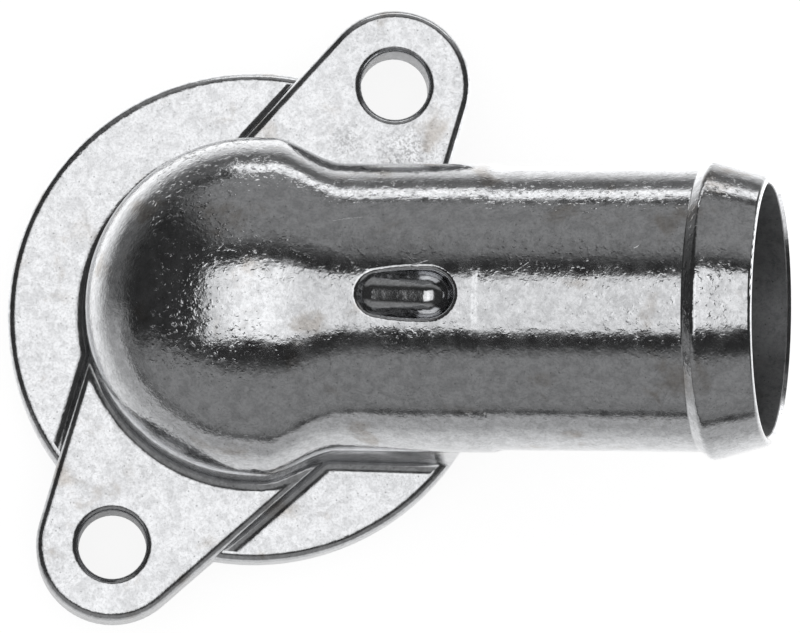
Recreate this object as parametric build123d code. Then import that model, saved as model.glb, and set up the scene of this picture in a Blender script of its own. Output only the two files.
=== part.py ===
from build123d import *
import os
from math import acos, asin, atan2, cos, degrees, hypot, radians, sin, tan

# Coolant water outlet, a thermostat cover die-cast in aluminium as one piece.
# Origin: centre of the flange on its machined mating face. +Z leads away from the
# engine, and +X is the way the neck points, seen from above. Millimetres, degrees.

# Flange disc and bolt ears
DISC_RADIUS = 30.75
DISC_THICKNESS = 5.6
EAR_THICKNESS = 8.5
EAR_END_RADIUS = 9.5
EAR_INNER_END = 6.0
EAR_BEARING = 60.0
BOLT_OVERHANG = 3.0
BOLT_HOLE_DIAMETER = 8.5
BOLT_MOUTH_ROUND = 0.85
DISC_EDGE_ROUND = 1.2
EAR_EDGE_ROUND = 1.1
# The overhang is how far the bolt holes' centres lie outside the disc's edge. A
# flank's offset is how far its straight line passes from the flange's centre, for the
# flank on the left and on the right with the ear pointing away. The real ones differ.
FIRST_EAR_LEFT_OFFSET = 16.05
FIRST_EAR_RIGHT_OFFSET = 18.05
SECOND_EAR_LEFT_OFFSET = 19.65
SECOND_EAR_RIGHT_OFFSET = 18.3

# Domed elbow over the flange: an upright wall, then a flattened crown
DOME_RADIUS = 21.0
DOME_RISE = 18.7
DOME_WALL = 3.0
ROOT_ROUND = 1.5
FIRST_EAR_ROOT_ROUND = 0.9

# Neck: its axis starts over the origin at this height and rises towards +X
NECK_RISE = 12.0
NECK_AXIS_HEIGHT = 18.3
NECK_RADIUS = 17.8
NECK_PAST_DISC = 0.45
NECK_BORE_RADIUS = 12.4

# Shoulder, where the dome narrows to the neck, and the pedestal under the neck
SHOULDER_START = 1.5
SHOULDER_END = 10.6
SHOULDER_SECTIONS = 10
PEDESTAL_HALF_WIDTH = 18.0
PEDESTAL_SIDE_DRAFT = 2.0
PEDESTAL_END_DRAFT = 1.0

# Hose spigot and its bead, as lengths along the neck's axis from over the origin
SPIGOT_DIAMETER = 35.0
SPIGOT_BORE_DIAMETER = 31.0
SPIGOT_END = 64.7
STEP_LENGTH = 0.9
STEP_ROUND = 1.5
BEAD_FOOT = 56.3
BEAD_FOOT_ROUND = 0.4
BEAD_RISE_LENGTH = 1.5
BEAD_HEIGHT = 1.05
BEAD_CREST_ROUND = 1.0
NOSE_TAPER = 0.85
NOSE_ROUND = 0.6
BORE_CHAMFER = 0.5
BORE_SHOULDER_LENGTH = 3.0

# Blind pocket in the top of the neck: where its floor starts and how long it is, and
# how far it leans from upright towards the spigot
POCKET_START = 11.2
POCKET_LENGTH = 12.15
POCKET_LEAN = 8.7
POCKET_WIDTH = 5.9
POCKET_SHALLOW_DEPTH = 0.8
POCKET_FLOOR_ROUND = 2.9
POCKET_EDGE_ROUND = 0.6

# Seat for the thermostat's rim, sunk into the mating face
SEAT_RIM_WIDTH = 3.5
SEAT_DEPTH = 3.0

# How far a cutter runs past the face that it leaves, and how deep a solid starts
# inside the flange that it joins
OVERRUN = 2.0
SUNK_START = 1.0

BOLT_SPACING = 2 * (DISC_RADIUS + BOLT_OVERHANG)
BOLT_HOLE_RADIUS = BOLT_HOLE_DIAMETER / 2
SEAT_RADIUS = DISC_RADIUS - SEAT_RIM_WIDTH
NECK_LENGTH = DISC_RADIUS + NECK_PAST_DISC
SPIGOT_RADIUS = SPIGOT_DIAMETER / 2
SPIGOT_BORE_RADIUS = SPIGOT_BORE_DIAMETER / 2
NECK_SLOPE = tan(radians(NECK_RISE))
NECK_HALF_HEIGHT = NECK_RADIUS / cos(radians(NECK_RISE))
NECK_TOP_HEIGHT = NECK_AXIS_HEIGHT + NECK_HALF_HEIGHT
SIDE_SLOPE = tan(radians(PEDESTAL_SIDE_DRAFT))
POCKET_START_HEIGHT = NECK_TOP_HEIGHT + POCKET_START * NECK_SLOPE - POCKET_SHALLOW_DEPTH
TOLERANCE = 0.02

# The neck's own frame: its Z runs along the neck, from over the origin
NECK_FRAME = Plane(
    origin=(0, 0, NECK_AXIS_HEIGHT),
    x_dir=(0, 1, 0),
    z_dir=(cos(radians(NECK_RISE)), 0, sin(radians(NECK_RISE))),
)


def ear_outline(side, left_offset, right_offset):
    """A round end about the bolt hole, and two flanks that widen towards the dome.
    A flank touches the round end, and its line passes the centre at its offset."""
    away = Vector(side, 0, 0).rotate(Axis.Z, EAR_BEARING)
    left = away.rotate(Axis.Z, 90)
    hole = away * (BOLT_SPACING / 2)
    outer, inner = [], []
    for turn, offset in ((1, left_offset), (-1, right_offset)):
        angle = asin((offset - EAR_END_RADIUS) / (BOLT_SPACING / 2))
        normal = left * (turn * cos(angle)) + away * sin(angle)
        across = (offset - EAR_INNER_END * sin(angle)) / cos(angle)
        outer.append(hole + normal * EAR_END_RADIUS)
        inner.append(away * EAR_INNER_END + left * (turn * across))
    corners = (outer[0], inner[0], inner[1], outer[1])
    web = make_face(Polyline(*corners, close=True).edges())
    return web + Pos(hole) * Circle(EAR_END_RADIUS)


def make_ears():
    """The two ears, thicker than the disc, with their top edges rounded. Their inner
    ends are inside the dome's wall."""
    first = ear_outline(1, FIRST_EAR_LEFT_OFFSET, FIRST_EAR_RIGHT_OFFSET)
    second = ear_outline(-1, SECOND_EAR_LEFT_OFFSET, SECOND_EAR_RIGHT_OFFSET)
    ears = extrude(first + second, EAR_THICKNESS)
    return fillet(ears.edges().group_by(Axis.Z)[-1], EAR_EDGE_ROUND)


def dome(radius, rise, foot):
    """An upright wall up to the neck's axis height, and a quarter ellipse over it."""
    arc = EllipticalCenterArc(
        (0, NECK_AXIS_HEIGHT), radius, rise, start_angle=0, arc_size=90
    )
    straight = Polyline(
        (0, NECK_AXIS_HEIGHT + rise), (0, foot), (radius, foot), (radius, NECK_AXIS_HEIGHT)
    )
    return revolve(Plane.XZ * make_face((arc + straight).edges()), Axis.Z)


def side_at(height):
    """How far the pedestal's sloping side is from the middle at a height."""
    return PEDESTAL_HALF_WIDTH - (height - DISC_THICKNESS) * SIDE_SLOPE


def ease(share):
    """0 to 1 with no slope at either end."""
    share = min(1.0, max(0.0, share))
    return share * share * (3 - 2 * share)


def crown_height(x):
    """Top line of the shoulder: level at the dome, on the neck's slope at its end."""
    share = x / SHOULDER_END
    end_height = NECK_TOP_HEIGHT + SHOULDER_END * NECK_SLOPE
    turn_in = share * share * (share - 1) * SHOULDER_END * NECK_SLOPE
    return (
        (NECK_AXIS_HEIGHT + DOME_RISE) * (1 - ease(share))
        + end_height * ease(share)
        + turn_in
    )


def side_tuck():
    """The angle below the neck's axis at which the pedestal's sloping side leaves the
    neck, in the section at the shoulder's end. The ellipse's point at angle -t is on
    the side's line where A cos t - B sin t = C, which has the closed form below."""
    axis_height = NECK_AXIS_HEIGHT + SHOULDER_END * NECK_SLOPE
    across = NECK_HALF_HEIGHT * SIDE_SLOPE
    reach = PEDESTAL_HALF_WIDTH - (axis_height - DISC_THICKNESS) * SIDE_SLOPE
    return acos(reach / hypot(NECK_RADIUS, across)) - atan2(across, NECK_RADIUS)


def shoulder_section(x):
    """Upright section of the shoulder: a half ellipse on two sides down to the flange.
    The sides draw in below the ellipse, and slope out again to the pedestal's foot."""
    narrowing = ease((x - SHOULDER_START) / (SHOULDER_END - SHOULDER_START))
    half_width = DOME_RADIUS + (NECK_RADIUS - DOME_RADIUS) * narrowing
    axis_height = NECK_AXIS_HEIGHT + x * NECK_SLOPE
    tuck = degrees(side_tuck()) * ease(x / SHOULDER_END)
    arc = EllipticalCenterArc(
        (0, axis_height),
        half_width,
        crown_height(x) - axis_height,
        start_angle=-tuck,
        arc_size=180 + 2 * tuck,
    )
    right, left = arc @ 0, arc @ 1
    foot = DOME_RADIUS + (side_at(SUNK_START) - DOME_RADIUS) * narrowing
    sides = Polyline(left, (-foot, SUNK_START), (foot, SUNK_START), right)
    plane = Plane(origin=(x, 0, 0), x_dir=(0, 1, 0), z_dir=(1, 0, 0))
    return plane * make_face((arc + sides).edges())


def ring(part, radius, station):
    """The edges of a turned part that lie on one circle of its outline."""
    return [
        edge
        for edge in part.edges().filter_by(GeomType.CIRCLE)
        if abs(edge.radius - radius) < TOLERANCE
        and abs(edge.center().Z - station) < TOLERANCE
    ]


def turned(*outline):
    """A solid of revolution about Z from (radius, station) points off the axis."""
    points = [(0, outline[0][1]), *outline, (0, outline[-1][1])]
    return revolve(Plane.XZ * make_face(Polyline(*points, close=True).edges()), Axis.Z)


def sink_pocket(neck):
    """The blind pocket: a slot with a full-round floor that is sunk at a slant, so it
    deepens towards the spigot, and a rounded rim."""
    lean = radians(POCKET_LEAN)
    floor = Plane(
        origin=(POCKET_START, 0, POCKET_START_HEIGHT),
        x_dir=(cos(lean), 0, -sin(lean)),
        z_dir=(sin(lean), 0, cos(lean)),
    )
    slot = Pos(POCKET_LENGTH / 2, 0) * SlotOverall(POCKET_LENGTH, POCKET_WIDTH)
    cutter = extrude(floor * slot, NECK_RADIUS)
    foot = [edge for edge in cutter.edges() if abs(floor.to_local_coords(edge @ 0.5).Z) < TOLERANCE]
    cutter = fillet(foot, POCKET_FLOOR_ROUND)
    neck -= cutter
    rim = []
    for edge in neck.edges():
        point = NECK_FRAME.to_local_coords(edge @ 0.5)
        over_bore = abs(point.X) < POCKET_WIDTH and point.Z < NECK_LENGTH - STEP_LENGTH - STEP_ROUND
        on_skin = abs(hypot(point.X, point.Y) - NECK_RADIUS) < TOLERANCE
        if over_bore and on_skin and (edge @ 0.5).Z > NECK_TOP_HEIGHT:
            rim.append(edge)
    return fillet(rim, POCKET_EDGE_ROUND)


def make_neck():
    """Neck, step, hose spigot, bead and tapered nose, turned about the neck's axis."""
    crest = (SPIGOT_RADIUS + BEAD_HEIGHT, BEAD_FOOT + BEAD_RISE_LENGTH)
    foot = (SPIGOT_RADIUS, BEAD_FOOT)
    nose = (SPIGOT_RADIUS - NOSE_TAPER, SPIGOT_END)
    step_top = (NECK_RADIUS, NECK_LENGTH - STEP_LENGTH)
    step_foot = (SPIGOT_RADIUS, NECK_LENGTH)
    neck = turned((NECK_RADIUS, 0), step_top, step_foot, foot, crest, nose)
    neck = fillet(ring(neck, *crest), BEAD_CREST_ROUND)
    neck = fillet(ring(neck, *foot), BEAD_FOOT_ROUND)
    neck = fillet(ring(neck, *nose), NOSE_ROUND)
    neck = fillet(ring(neck, *step_top) + ring(neck, *step_foot), STEP_ROUND)
    return sink_pocket(NECK_FRAME * neck)


def make_pedestal():
    """Fills the space under the neck down to the flange, as far as the disc's edge."""
    end = DISC_RADIUS + NECK_AXIS_HEIGHT * tan(radians(PEDESTAL_END_DRAFT)) + OVERRUN
    top = NECK_AXIS_HEIGHT + SHOULDER_END * NECK_SLOPE
    section = Polyline(
        (-side_at(SUNK_START), SUNK_START),
        (side_at(SUNK_START), SUNK_START),
        (side_at(top), top),
        (-side_at(top), top),
        close=True,
    )
    plane = Plane(origin=(SHOULDER_END, 0, 0), x_dir=(0, 1, 0), z_dir=(1, 0, 0))
    block = extrude(plane * make_face(section.edges()), end - SHOULDER_END)
    reach = extrude(
        Pos(0, 0, SUNK_START) * Circle(DISC_RADIUS),
        NECK_AXIS_HEIGHT * 2,
        taper=-PEDESTAL_END_DRAFT,
    )
    return block & reach


def make_body():
    """Dome, shoulder, neck and pedestal as one outer form."""
    big = 4 * SPIGOT_END
    behind = Pos(-big / 2, 0, 0) * Box(big, big, big)
    stations = [
        SHOULDER_END * count / (SHOULDER_SECTIONS - 1) for count in range(SHOULDER_SECTIONS)
    ]
    shoulder = loft([shoulder_section(x) for x in stations])
    back = dome(DOME_RADIUS, DOME_RISE, SUNK_START) & behind
    neck = make_neck() - Pos(SHOULDER_END, 0, 0) * behind
    return back + shoulder + neck + make_pedestal()


def is_root(edge):
    """Whether an edge is part of the corners where the body stands on the flange, or
    of the corners beside the ears. The sliver of disc between the first ear's right
    flank and the pedestal is too short for a fillet of its own."""
    middle = edge.center()
    out = hypot(middle.X, middle.Y)
    if not DISC_THICKNESS - TOLERANCE < middle.Z < EAR_THICKNESS + TOLERANCE:
        return False
    if middle.X < SHOULDER_START and abs(out - DOME_RADIUS) < 2 * TOLERANCE:
        return True
    past_side = abs(middle.Y) - side_at(middle.Z)
    if middle.X > SHOULDER_END:
        return abs(past_side) < 2 * TOLERANCE
    if middle.X > SHOULDER_START and abs(middle.Y) < DOME_RADIUS:
        return past_side > -2 * TOLERANCE
    on_disc = abs(middle.Z - DISC_THICKNESS) < TOLERANCE
    return edge.geom_type == GeomType.LINE and on_disc and EAR_END_RADIUS < out < DISC_RADIUS


def by_first_ear(edge):
    """Whether an edge is one of the first ear's, which is on the +Y side."""
    middle = edge.center()
    along = middle.X * cos(radians(EAR_BEARING)) + middle.Y * sin(radians(EAR_BEARING))
    return along > EAR_END_RADIUS and middle.Y > 0


def fillet_roots(casting):
    """The corner fillets: first the wide one round the dome, the pedestal and the
    second ear, then the narrower one of the first ear, which is short of room."""
    wide = [e for e in casting.edges() if is_root(e) and not by_first_ear(e)]
    casting = fillet(wide, ROOT_ROUND)
    narrow = [e for e in casting.edges() if is_root(e) and by_first_ear(e)]
    return fillet(narrow, FIRST_EAR_ROOT_ROUND)


def drill_ears(casting):
    """The two bolt holes, straight through, their mouths rounded on the ears' tops."""
    for side in (1, -1):
        place = Vector(side * BOLT_SPACING / 2, 0, 0).rotate(Axis.Z, EAR_BEARING)
        casting -= Pos(place) * Cylinder(BOLT_HOLE_RADIUS, 4 * EAR_THICKNESS)
    return fillet(ring(casting, BOLT_HOLE_RADIUS, EAR_THICKNESS), BOLT_MOUTH_ROUND)


def make_hollow():
    """The seat, the chamber under the dome, and the bore out through the neck."""
    seat = extrude(Pos(0, 0, -OVERRUN) * Circle(SEAT_RADIUS), SEAT_DEPTH + OVERRUN)
    chamber = dome(DOME_RADIUS - DOME_WALL, DOME_RISE - DOME_WALL, -OVERRUN)
    # The turned surface's seam goes to the back, away from where the bore opens
    chamber = Rot(0, 0, 180) * chamber
    bore = turned(
        (NECK_BORE_RADIUS, 0),
        (NECK_BORE_RADIUS, NECK_LENGTH - BORE_SHOULDER_LENGTH),
        (SPIGOT_BORE_RADIUS, NECK_LENGTH),
        (SPIGOT_BORE_RADIUS, SPIGOT_END - BORE_CHAMFER),
        (SPIGOT_BORE_RADIUS + BORE_CHAMFER, SPIGOT_END),
        (SPIGOT_BORE_RADIUS + BORE_CHAMFER, SPIGOT_END + OVERRUN),
    )
    return seat + (chamber + NECK_FRAME * bore)


def round_disc_edge(casting, ears, body):
    """Rounds the disc's top edge where neither an ear nor the body stands on it. The
    corner fillets run into it, so it is cut with a turned ring and not filleted."""
    inner = DISC_RADIUS - DISC_EDGE_ROUND
    low = DISC_THICKNESS - DISC_EDGE_ROUND
    arc = CenterArc((inner, low), DISC_EDGE_ROUND, 0, 90)
    top = DISC_THICKNESS + ROOT_ROUND
    outer = DISC_RADIUS + OVERRUN
    rest = Polyline(
        (inner, DISC_THICKNESS), (inner, top), (outer, top), (outer, low), (DISC_RADIUS, low)
    )
    cutter = revolve(Plane.XZ * make_face((arc + rest).edges()), Axis.Z)
    return casting - (cutter - ears - body)


def make_casting():
    """The whole casting, with its machined faces and holes."""
    ears = make_ears()
    body = make_body()
    casting = extrude(Circle(DISC_RADIUS), DISC_THICKNESS) + ears + body
    casting = round_disc_edge(fillet_roots(casting), ears, body)
    return drill_ears(casting - make_hollow())


os.makedirs("parts", exist_ok=True)
export_step(make_casting(), "parts/outlet_casting.step")
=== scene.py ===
"""Coolant water outlet: a bare die-cast aluminium casting on a pale studio floor.

Everything is in metres in the CAD model's own frame, with the mating face at z = 0.
"""

from math import cos, pi, radians, sin, tan

import bmesh
import bpy
import numpy as np
from mathutils import Matrix, Vector


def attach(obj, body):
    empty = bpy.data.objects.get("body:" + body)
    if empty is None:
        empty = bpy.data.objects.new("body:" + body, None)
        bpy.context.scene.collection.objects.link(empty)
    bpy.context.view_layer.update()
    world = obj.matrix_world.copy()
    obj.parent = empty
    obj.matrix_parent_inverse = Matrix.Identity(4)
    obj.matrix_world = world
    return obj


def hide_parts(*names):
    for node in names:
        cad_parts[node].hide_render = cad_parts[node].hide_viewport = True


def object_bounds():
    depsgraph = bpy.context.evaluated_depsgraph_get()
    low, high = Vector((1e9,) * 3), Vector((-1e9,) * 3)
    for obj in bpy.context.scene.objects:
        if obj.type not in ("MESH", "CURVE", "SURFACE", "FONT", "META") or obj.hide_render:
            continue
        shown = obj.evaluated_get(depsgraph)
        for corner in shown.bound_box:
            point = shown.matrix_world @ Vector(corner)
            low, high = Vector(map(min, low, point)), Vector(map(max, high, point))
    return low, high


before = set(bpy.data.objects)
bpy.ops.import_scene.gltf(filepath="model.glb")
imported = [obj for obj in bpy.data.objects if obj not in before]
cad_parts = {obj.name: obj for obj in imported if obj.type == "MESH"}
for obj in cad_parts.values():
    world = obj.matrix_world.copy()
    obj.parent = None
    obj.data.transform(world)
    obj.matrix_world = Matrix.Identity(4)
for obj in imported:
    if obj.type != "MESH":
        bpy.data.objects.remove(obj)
cad_box = [list(corner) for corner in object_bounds()]
scene = bpy.context.scene
scene.view_settings.view_transform = "Standard"


# The casting: flange, ears, domed elbow, neck and hose spigot, die-cast in aluminium in
# one shot. The CAD model has its true shape, so this is a copy of it, with its doubles
# merged. It is shaded smoothly wherever its faces turn less than the SHARP angle.
MM = 0.001
SAME_POINT = 0.001 * MM
SHARP = cos(radians(38))

casting_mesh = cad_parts["outlet_casting"].data.copy()
casting_mesh.name = "outlet_casting_skin"
merged = bmesh.new()
merged.from_mesh(casting_mesh)
bmesh.ops.remove_doubles(merged, verts=merged.verts, dist=SAME_POINT)
merged.to_mesh(casting_mesh)
merged.free()
casting = bpy.data.objects.new("outlet_casting_skin", casting_mesh)
scene.collection.objects.link(casting)


def smooth_normals(mesh):
    """One normal for each corner of each triangle. It is the sum of the normals of the
    faces round the corner's point that turn less than the sharp angle from the corner's
    own face, each times its face's area and its angle at the point. So a flat face or a
    cylinder keeps its own normals right up to a round."""
    points = np.empty(len(mesh.vertices) * 3)
    mesh.vertices.foreach_get("co", points)
    corners = np.empty(len(mesh.loops), dtype=int)
    mesh.loops.foreach_get("vertex_index", corners)
    ends = points.reshape(-1, 3)[corners].reshape(-1, 3, 3)
    ahead = np.roll(ends, -1, axis=1) - ends
    back = np.roll(ends, 1, axis=1) - ends
    normal = np.cross(ahead[:, 0], back[:, 0])
    area = np.linalg.norm(normal, axis=1, keepdims=True)
    lengths = np.linalg.norm(ahead, axis=2) * np.linalg.norm(back, axis=2)
    angle = np.arccos(np.clip((ahead * back).sum(axis=2) / lengths, -1, 1))
    weight = (angle * area).ravel()
    facing = np.repeat(normal / area, 3, axis=0)

    # Every pair of corners at one point: the corners in the order of their points, each
    # set against all those of its own point
    order = np.argsort(corners, kind="stable")
    ranked = corners[order]
    shared = np.bincount(corners)[ranked]
    step = np.arange(shared.sum()) - np.repeat(np.cumsum(shared) - shared, shared)
    one = np.repeat(order, shared)
    other = order[np.repeat(np.searchsorted(ranked, ranked), shared) + step]
    close = (facing[one] * facing[other]).sum(axis=1) > SHARP
    part = facing[other] * (weight[other] * close)[:, None]
    total = np.stack([np.bincount(one, part[:, axis]) for axis in range(3)], axis=1)
    return total / np.linalg.norm(total, axis=1, keepdims=True)


casting_mesh.shade_smooth()
casting_mesh.normals_split_custom_set(smooth_normals(casting_mesh))


def linear(hex_colour):
    """sRGB hex to linear RGBA: a dark channel over 12.92, and a brighter one plus 0.055,
    over 1.055, to the power 2.4."""
    channels = [int(hex_colour[i : i + 2], 16) / 255 for i in (0, 2, 4)]
    return [c / 12.92 if c <= 0.04045 else ((c + 0.055) / 1.055) ** 2.4 for c in channels] + [1]


def add(tree, kind, settings=(), inputs=(), output=0):
    """Adds one node to a node tree and returns one of its outputs. An input is a value,
    another node's output, which is linked to it, or None, which leaves it as it is."""
    node = tree.nodes.new(kind)
    for name, value in dict(settings).items():
        setattr(node, name, value)
    for socket, value in dict(inputs).items():
        if isinstance(value, bpy.types.NodeSocket):
            tree.links.new(value, node.inputs[socket])
        elif value is not None:
            node.inputs[socket].default_value = value
    return node.outputs[output] if node.outputs else None


def graded(tree, level, masks):
    """A level times each of its masks. A mask runs smoothly from its first share to its
    second while its source runs from its start to its end, and keeps to them beyond."""
    for source, start, end, first, second in masks:
        mask = add(
            tree,
            "ShaderNodeMapRange",
            {"interpolation_type": "SMOOTHSTEP"},
            {
                "Value": source,
                "From Min": start,
                "From Max": end,
                "To Min": first,
                "To Max": second,
            },
        )
        level = add(tree, "ShaderNodeMath", {"operation": "MULTIPLY"}, {0: level, 1: mask})
    return level


# Die-cast aluminium, as it left the die: a bright skin whose fine grain sparkles at the
# edge of a light, with small pits and nodules, cloudy mottling, flow veins, dirt and
# brownish stains. The machined bore and the bolt holes' walls are duller, and painted shade
# darkens their colour in these recesses.
aluminium = bpy.data.materials.new("die_cast_aluminium")
aluminium.use_nodes = True
tree = aluminium.node_tree
tree.nodes.clear()
place = add(tree, "ShaderNodeTexCoord", output="Object")
axes = add(tree, "ShaderNodeSeparateXYZ", inputs={0: place}).node.outputs

# Each pattern: the size of its features in mm, its detail and its distortion. The real
# grain and speckle are about 0.1 mm, finer than the render's pixels, and are drawn as
# coarse as they need to show. The others are as large as on the real casting.
PATTERN_ROUGHNESS = 0.55
PIT_SPACING = 1.1 * MM

patterns = {}
for name, size, detail, distortion in (
    ("grain", 0.5, 4.0, 0.0),
    ("nodules", 0.62, 2.0, 0.0),
    ("ripple", 2.6, 2.0, 0.0),
    ("speckle", 0.35, 3.0, 0.0),
    ("spots", 0.42, 4.0, 0.8),
    ("cloud", 1.3, 4.0, 0.6),
    ("flow", 1.5, 3.0, 1.4),
    ("stain", 6.5, 5.0, 0.3),
    ("zone", 9.0, 2.0, 0.5),
):
    patterns[name] = add(
        tree,
        "ShaderNodeTexNoise",
        inputs={
            "Vector": place,
            "Scale": 1 / (size * MM),
            "Detail": detail,
            "Roughness": PATTERN_ROUGHNESS,
            "Distortion": distortion,
        },
    )
pits = add(
    tree,
    "ShaderNodeTexVoronoi",
    {"feature": "F1"},
    {"Vector": place, "Scale": 1 / PIT_SPACING, "Randomness": 1.0},
)

# A flow vein runs where its pattern crosses the middle of its range
vein = add(tree, "ShaderNodeMath", {"operation": "SUBTRACT"}, {0: patterns["flow"], 1: 0.5})
vein = add(tree, "ShaderNodeMath", {"operation": "ABSOLUTE"}, {0: vein})

# How far a point lies from the spigot's axis tells the bore from the outside, and how far
# from a bolt hole's axis tells the hole's wall from the ear. Both limits are 0.1 mm over
# the true radius, and the holes' middles are x and y in mm. The bore is machined from the
# step outwards, and not in the chamber. These walls are duller, and painted shade darkens
# their colour; the holes' walls get DRILLED_SHARE of the bore's mask.
AXIS_HEIGHT = 18.3 * MM
AXIS_RISE = radians(12)
BORE_LIMIT = 15.6 * MM
BORE_START = 30 * MM
BOLT_HOLES = ((16.88, 29.23), (-16.88, -29.23))
BOLT_HOLE_LIMIT = 4.35 * MM
DRILLED_SHARE = 0.5

turned = add(
    tree,
    "ShaderNodeMapping",
    {"vector_type": "TEXTURE"},
    {"Vector": place, "Location": (0, 0, AXIS_HEIGHT), "Rotation": (0, -AXIS_RISE, 0)},
)
along = add(tree, "ShaderNodeSeparateXYZ", inputs={0: turned})
radial = add(tree, "ShaderNodeVectorMath", {"operation": "MULTIPLY"}, {0: turned, 1: (0, 1, 1)})
radial = add(tree, "ShaderNodeVectorMath", {"operation": "LENGTH"}, {0: radial}, "Value")
bored = add(tree, "ShaderNodeMath", {"operation": "LESS_THAN"}, {0: radial, 1: BORE_LIMIT})
outer = add(tree, "ShaderNodeMath", {"operation": "GREATER_THAN"}, {0: along, 1: BORE_START})
machined_and_shaded = add(tree, "ShaderNodeMath", {"operation": "MULTIPLY"}, {0: bored, 1: outer})
plan = add(tree, "ShaderNodeVectorMath", {"operation": "MULTIPLY"}, {0: place, 1: (1, 1, 0)})
for x, y in BOLT_HOLES:
    middle = (x * MM, y * MM, 0)
    away = add(
        tree, "ShaderNodeVectorMath", {"operation": "DISTANCE"}, {0: plan, 1: middle}, "Value"
    )
    drilled = add(
        tree, "ShaderNodeMath", {"operation": "LESS_THAN"}, {0: away, 1: BOLT_HOLE_LIMIT}
    )
    machined_and_shaded = add(
        tree,
        "ShaderNodeMath",
        {"operation": "MULTIPLY_ADD"},
        {0: drilled, 1: DRILLED_SHARE, 2: machined_and_shaded},
    )

# Dirty places: x, y and z of the middle and the radius, in mm, and how dark it is there.
# The dirt sits in spots.
grime = 0.0
for x, y, z, radius, depth in (
    (18.5, 20.5, 8.5, 8, 0.6),
    (11, 22, 8.5, 5, 0.5),
    (-19, -22, 8.5, 5, 0.25),
    (-27, 3, 5.6, 5, 0.2),
    (28, -1.5, 47, 4, 0.3),
    (44, -1.5, 45, 7, 0.3),
    (2, -12, 30, 3.5, 0.5),
    (19, -12, 36, 3.5, 0.35),
    (54, -11, 40, 5, 0.35),
    (-8, 8, 30, 8, 0.3),
):
    middle = (x * MM, y * MM, z * MM)
    away = add(
        tree, "ShaderNodeVectorMath", {"operation": "DISTANCE"}, {0: place, 1: middle}, "Value"
    )
    patch = graded(tree, depth, ((away, radius * MM, 0.0, 0.0, 1.0),))
    grime = add(tree, "ShaderNodeMath", {"operation": "MAXIMUM"}, {0: grime, 1: patch})
grime = graded(tree, grime, ((patterns["spots"], 0.44, 0.6, 0.0, 1.0),))

# The skin is a light grey with brownish stains. Its patterns and the dirt each darken it,
# and painted shade darkens it on the machined walls of the bore and the bolt holes.
STAIN_DEPTH = 0.6

tone = graded(
    tree,
    1.0,
    (
        (patterns["cloud"], 0.34, 0.62, 0.84, 1.04),
        (patterns["speckle"], 0.36, 0.6, 0.9, 1.03),
        (vein, 0.0, 0.02, 0.8, 1.0),
        (pits, 0.06, 0.12, 0.55, 1.0),
        (grime, 0.0, 1.0, 1.0, 0.3),
        # painted shade: the colour is halved in the bore, and darkened less on the bolt holes'
        # walls
        (machined_and_shaded, 0.0, 1.0, 1.0, 0.5),
    ),
)
stained = graded(tree, STAIN_DEPTH, ((patterns["stain"], 0.58, 0.72, 0.0, 1.0),))
skin = add(
    tree,
    "ShaderNodeMix",
    {"data_type": "RGBA"},
    {0: stained, 6: linear("d0d1d3"), 7: linear("9d958c")},
    2,
)
skin = add(tree, "ShaderNodeVectorMath", {"operation": "SCALE"}, {0: skin, "Scale": tone})

# The skin's gloss varies with the ripples, whose values lie mostly in RIPPLES. The tops
# of the flange and the ears, up to FLAT_TOP, are a little duller, and the machined walls
# much duller.
RIPPLES = (0.3, 0.7)
SMOOTHEST, ROUGHEST = 0.07, 0.16
FLAT_TOP, ELBOW_START = 8.6 * MM, 12 * MM
FLAT_DULLNESS = 0.07
MACHINED_DULLNESS = 0.4

rough = add(
    tree,
    "ShaderNodeMapRange",
    inputs={
        "Value": patterns["ripple"],
        "From Min": RIPPLES[0],
        "From Max": RIPPLES[1],
        "To Min": SMOOTHEST,
        "To Max": ROUGHEST,
    },
)
flat = graded(tree, 1.0, ((axes["Z"], ELBOW_START, FLAT_TOP, 0.0, 1.0),))
for mask, dullness in ((flat, FLAT_DULLNESS), (machined_and_shaded, MACHINED_DULLNESS)):
    rough = add(
        tree,
        "ShaderNodeMath",
        {"operation": "MULTIPLY_ADD"},
        {0: mask, 1: dullness, 2: rough},
    )

# The nodules stand out only where their pattern is strong: most on the dome's back, less
# towards the spigot and the near side, and little on the flange, the ears and in the bore.
# The grain, too, is strongest on the dome's back.
raised = graded(
    tree,
    1.0,
    (
        (patterns["nodules"], 0.52, 0.8, 0.0, 1.0),
        (axes["X"], -13 * MM, 5 * MM, 2.6, 0.65),
        (axes["Y"], -14 * MM, 0.0, 0.35, 1.0),
        (axes["Z"], FLAT_TOP, 14 * MM, 0.15, 1.0),
        (patterns["zone"], 0.35, 0.6, 0.4, 1.0),
        (radial, 17.0 * MM, 17.45 * MM, 0.1, 1.0),
    ),
)
frosting = graded(tree, patterns["grain"], ((axes["X"], -13 * MM, 2 * MM, 2.4, 1.0),))

# Scratches: the middle of each (x, y, z), its length and width in mm, and its bearing.
# Each is a long thin ellipsoid, tall enough to meet the skin, and is fully deep up to
# SCRATCH_CORE of the way out from its middle.
SCRATCH_REACH = 4 * MM
SCRATCH_CORE = 0.2

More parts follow.
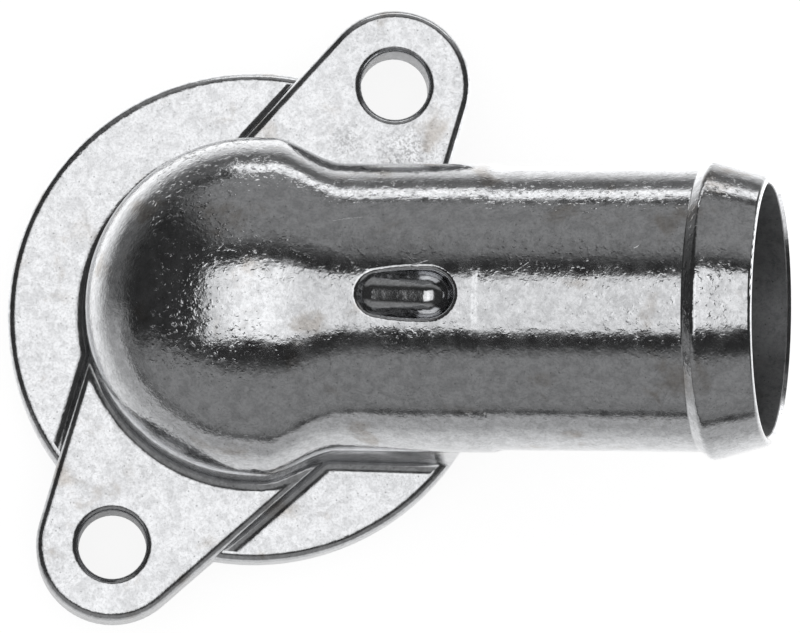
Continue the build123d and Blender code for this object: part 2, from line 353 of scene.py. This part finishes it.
scratched = 0.0
for x, y, z, length, width, bearing in (
    (10.7, 9.4, 38, 6.5, 0.12, 8),
    (19.5, 3.7, 40, 3.4, 0.14, 17),
    (18.6, 4.4, 40, 2.0, 0.12, -40),
    (32.2, 3.4, 43, 2.4, 0.14, 36),
    (46.0, 6.0, 43, 1.6, 0.14, 30),
):
    laid = add(
        tree,
        "ShaderNodeMapping",
        {"vector_type": "TEXTURE"},
        {
            "Vector": place,
            "Location": (x * MM, y * MM, z * MM),
            "Rotation": (0, 0, radians(bearing)),
            "Scale": (length / 2 * MM, width / 2 * MM, SCRATCH_REACH),
        },
    )
    away = add(tree, "ShaderNodeVectorMath", {"operation": "LENGTH"}, {0: laid}, "Value")
    line = graded(tree, 1.0, ((away, 1.0, SCRATCH_CORE, 0.0, 1.0),))
    scratched = add(tree, "ShaderNodeMath", {"operation": "MAXIMUM"}, {0: scratched, 1: line})

# The step where the neck meets the spigot is eased by most of its own height of 0.3 mm
STEP_START = 30.06 * MM
STEP_END = 31.44 * MM

eased = graded(tree, 1.0, ((along, STEP_START, STEP_END, 0.0, 1.0),))

# Each relief: its pattern and how far it stands out, in mm
relief = None
for pattern, height in (
    (eased, 0.22),
    (patterns["ripple"], 0.04),
    (frosting, 0.013),
    (raised, 0.032),
    (scratched, -0.03),
):
    relief = add(
        tree,
        "ShaderNodeBump",
        inputs={"Height": pattern, "Distance": height * MM, "Strength": 1.0, "Normal": relief},
    )

metal = add(
    tree,
    "ShaderNodeBsdfPrincipled",
    inputs={"Base Color": skin, "Metallic": 1.0, "Roughness": rough, "Normal": relief},
)
add(tree, "ShaderNodeOutputMaterial", inputs={"Surface": metal})
casting_mesh.materials.clear()
casting_mesh.materials.append(aluminium)
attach(casting, "root")
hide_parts("outlet_casting")


# The floor: a matt white table that the part lies on. To the camera it is white, with a
# faint shadow of the part. The metal sees a painted pool of light on it, a glow that is
# bright round the part and dim further away.
FLOOR_HALF = 1.5
FLOOR_GAP = 0.1 * MM
WHITE = (1, 1, 1, 1)
WHITE_SHARE, WHITE_STRENGTH = 0.84, 1.06
PAINTED_POOL_SHARE = 0.25

floor_mesh = bpy.data.meshes.new("floor")
floor_height = cad_box[0][2] - FLOOR_GAP
corners = [(-1, -1), (1, -1), (1, 1), (-1, 1)]
floor_mesh.from_pydata(
    [(x * FLOOR_HALF, y * FLOOR_HALF, floor_height) for x, y in corners], [], [(0, 1, 2, 3)]
)
floor = bpy.data.objects.new("floor", floor_mesh)
scene.collection.objects.link(floor)
pale = bpy.data.materials.new("pale_floor")
pale.use_nodes = True
tree = pale.node_tree
tree.nodes.clear()
place = add(tree, "ShaderNodeTexCoord", output="Object")

# The reach is a floor point's distance from the part's centre line, which runs from the
# dome along the spigot. Beside the part the painted pool of light is brightest, above all
# beyond it.
reach = add(tree, "ShaderNodeVectorMath", {"operation": "MINIMUM"}, {0: place, 1: (0, 1, 1)})
reach = add(tree, "ShaderNodeVectorMath", {"operation": "MULTIPLY"}, {0: reach, 1: (1, 1, 0)})
reach = add(tree, "ShaderNodeVectorMath", {"operation": "LENGTH"}, {0: reach}, "Value")
beyond = add(tree, "ShaderNodeSeparateXYZ", inputs={0: place}).node.outputs["Y"]
beside = graded(tree, 1.0, ((reach, 0.02, 0.08, 1.0, 0.0), (beyond, -0.03, 0.02, 0.7, 2.0)))
around = graded(tree, 1.0, ((beyond, -0.03, 0.02, 0.56, 0.17), (reach, 0.14, 0.21, 1.0, 0.48)))
painted_pool = add(tree, "ShaderNodeMath", {"operation": "ADD"}, {0: beside, 1: around})

# On the near side a painted dark line, seen only by the metal, runs round the painted pool of
# light
PAINTED_LINE_REACH = 0.21

line = add(tree, "ShaderNodeMath", {"operation": "SUBTRACT"}, {0: reach, 1: PAINTED_LINE_REACH})
line = add(tree, "ShaderNodeMath", {"operation": "ABSOLUTE"}, {0: line})
line = graded(tree, 1.0, ((line, 0.03, 0.07, 0.22, 1.0),))
past_line = graded(tree, 1.0, ((beyond, -0.07, -0.02, 0.0, 1.0),))
line = add(tree, "ShaderNodeMath", {"operation": "MAXIMUM"}, {0: line, 1: past_line})
painted_pool = add(tree, "ShaderNodeMath", {"operation": "MULTIPLY"}, {0: painted_pool, 1: line})

paint = linear("f4f4f4")
board = add(tree, "ShaderNodeBsdfDiffuse", inputs={"Color": paint})
white = add(tree, "ShaderNodeEmission", inputs={"Color": WHITE, "Strength": WHITE_STRENGTH})
backdrop = add(tree, "ShaderNodeMixShader", inputs={0: WHITE_SHARE, 1: board, 2: white})
# The metal sees the board with the painted pool of light in its colour, and the same pool
# glowing from it as painted light
painted_pool_paint = add(
    tree, "ShaderNodeVectorMath", {"operation": "SCALE"}, {0: paint[:3], "Scale": painted_pool}
)
painted_pool_board = add(tree, "ShaderNodeBsdfDiffuse", inputs={"Color": painted_pool_paint})
painted_pool_emission = add(tree, "ShaderNodeEmission", inputs={"Color": WHITE, "Strength": painted_pool})
mirrored = add(tree, "ShaderNodeMixShader", inputs={0: PAINTED_POOL_SHARE, 1: painted_pool_board, 2: painted_pool_emission})
ray = add(tree, "ShaderNodeLightPath").node.outputs
seen = add(
    tree,
    "ShaderNodeMath",
    {"operation": "MAXIMUM"},
    {0: ray["Is Camera Ray"], 1: ray["Is Transmission Ray"]},
)
shown = add(tree, "ShaderNodeMixShader", inputs={0: seen, 1: board, 2: backdrop})
shown = add(
    tree, "ShaderNodeMixShader", inputs={0: ray["Is Glossy Ray"], 1: shown, 2: mirrored}
)
add(tree, "ShaderNodeOutputMaterial", inputs={"Surface": shown})
floor_mesh.materials.append(pale)


# The studio: plain white all round, while the metal sees one large softbox overhead with a
# brighter middle, a dark gap round it, and a grey wall on either side of the part. A
# direction is placed by where it meets a plane one unit up: x across, y along.
LOWEST = 0.02
FAR_SKEW, NEAR_SKEW = -0.13, -0.2
MIDDLE_SHIFT = 0.08
SOFTBOX, FAR_WALL, NEAR_WALL, GAP = 1.0, 0.26, 0.25, 0.035

world = bpy.data.worlds.new("studio")
scene.world = world
world.use_nodes = True
tree = world.node_tree
tree.nodes.clear()
way = add(tree, "ShaderNodeTexCoord", output="Generated")
way = add(tree, "ShaderNodeSeparateXYZ", inputs={0: way}).node.outputs
up = add(tree, "ShaderNodeMath", {"operation": "MAXIMUM"}, {0: way["Z"], 1: LOWEST})
across = add(tree, "ShaderNodeMath", {"operation": "DIVIDE"}, {0: way["X"], 1: up})
along = add(tree, "ShaderNodeMath", {"operation": "DIVIDE"}, {0: way["Y"], 1: up})
far_side, near_side = (
    add(tree, "ShaderNodeMath", {"operation": "MULTIPLY_ADD"}, {0: across, 1: skew, 2: along})
    for skew in (FAR_SKEW, NEAR_SKEW)
)
off_middle = add(tree, "ShaderNodeMath", {"operation": "ADD"}, {0: across, 1: MIDDLE_SHIFT})
off_middle = add(tree, "ShaderNodeMath", {"operation": "ABSOLUTE"}, {0: off_middle})
bearing = add(tree, "ShaderNodeMath", {"operation": "ABSOLUTE"}, {0: way["Y"]})
bearing = add(tree, "ShaderNodeMath", {"operation": "DIVIDE"}, {0: way["X"], 1: bearing})

# Each light is its level times its edges, over the gap's own dim level. The softbox's far
# and near edges run askew, and a wall ends at a bearing, which is how far across a
# direction goes for each unit along.
light = GAP
for level, edges in (
    (
        SOFTBOX,
        (
            (across, -0.645, -0.585, 0.0, 1.0),
            (across, 0.3, 0.24, 0.0, 1.0),
            (far_side, 0.485, 0.425, 0.0, 1.0),
            (near_side, -0.43, -0.37, 0.0, 1.0),
            (off_middle, 0.08, 0.34, 1.42, 1.02),
        ),
    ),
    (
        FAR_WALL,
        (
            (along, 0.58, 1.0, 0.0, 1.0),
            (bearing, -0.95, -0.3, 0.0, 1.0),
            (bearing, 2.0, 1.0, 0.0, 1.0),
        ),
    ),
    (
        NEAR_WALL,
        (
            (along, -0.72, -1.15, 0.0, 1.0),
            (bearing, -4.0, -1.2, 0.0, 1.0),
            (bearing, 2.0, 1.0, 0.0, 1.0),
        ),
    ),
):
    lit = graded(tree, level, edges)
    light = add(tree, "ShaderNodeMath", {"operation": "ADD"}, {0: light, 1: lit})
studio = add(tree, "ShaderNodeBackground", inputs={"Color": WHITE, "Strength": light})
plain = add(tree, "ShaderNodeBackground", inputs={"Color": WHITE, "Strength": 1.0})
glossy = add(tree, "ShaderNodeLightPath", output="Is Glossy Ray")
shown = add(tree, "ShaderNodeMixShader", inputs={0: glossy, 1: plain, 2: studio})
add(tree, "ShaderNodeOutputWorld", inputs={"Surface": shown})


# The strip light: low and narrow, beyond the part and turned to it. It draws the bright
# line along the part's far side.
STRIP_LENGTH = 0.12
STRIP_HEIGHT = 0.021
STRIP_RADIANCE = 1.4
STRIP_PLACE = (0.038, 0.115, 0.0145)

strip_data = bpy.data.lights.new("low_strip", "AREA")
strip_data.shape = "RECTANGLE"
strip_data.size = STRIP_LENGTH
strip_data.size_y = STRIP_HEIGHT
strip_data.energy = STRIP_RADIANCE * pi * STRIP_LENGTH * STRIP_HEIGHT
strip = bpy.data.objects.new("low_strip", strip_data)
strip.location = STRIP_PLACE
strip.rotation_euler = (radians(-90), 0, 0)
strip.visible_camera = False
scene.collection.objects.link(strip)


# The camera looks down on the part from 1.4 m, nearly upright. AIM is the point of the
# mating face's plane that the picture's centre shows.
AIM = Vector((0.018398, 0.001048, 0.0))
DISTANCE = 1.4103
TILT_X = radians(1.270)
TILT_Y = radians(5.534)
ROLL = radians(-1.433)
PIXELS_PER_METRE = 7968
PICTURE_WIDTH = 800
SENSOR_WIDTH = 36
VIEW_END = 20

toward = Vector((-tan(TILT_X), -tan(TILT_Y), 1)).normalized()
rise = (Vector((0, 1, 0)) - toward * toward.y).normalized()
side = rise.cross(toward)
right = side * cos(ROLL) - rise * sin(ROLL)
upward = side * sin(ROLL) + rise * cos(ROLL)
camera_data = bpy.data.cameras.new("camera")
camera_data.sensor_width = SENSOR_WIDTH
camera_data.lens = PIXELS_PER_METRE * DISTANCE / PICTURE_WIDTH * SENSOR_WIDTH
camera_data.clip_end = VIEW_END
camera = bpy.data.objects.new("camera", camera_data)
scene.collection.objects.link(camera)
turn = Matrix((right, upward, toward)).transposed().to_4x4()
camera.matrix_world = Matrix.Translation(AIM + toward * DISTANCE) @ turn
scene.camera = camera

bpy.context.view_layer.update()
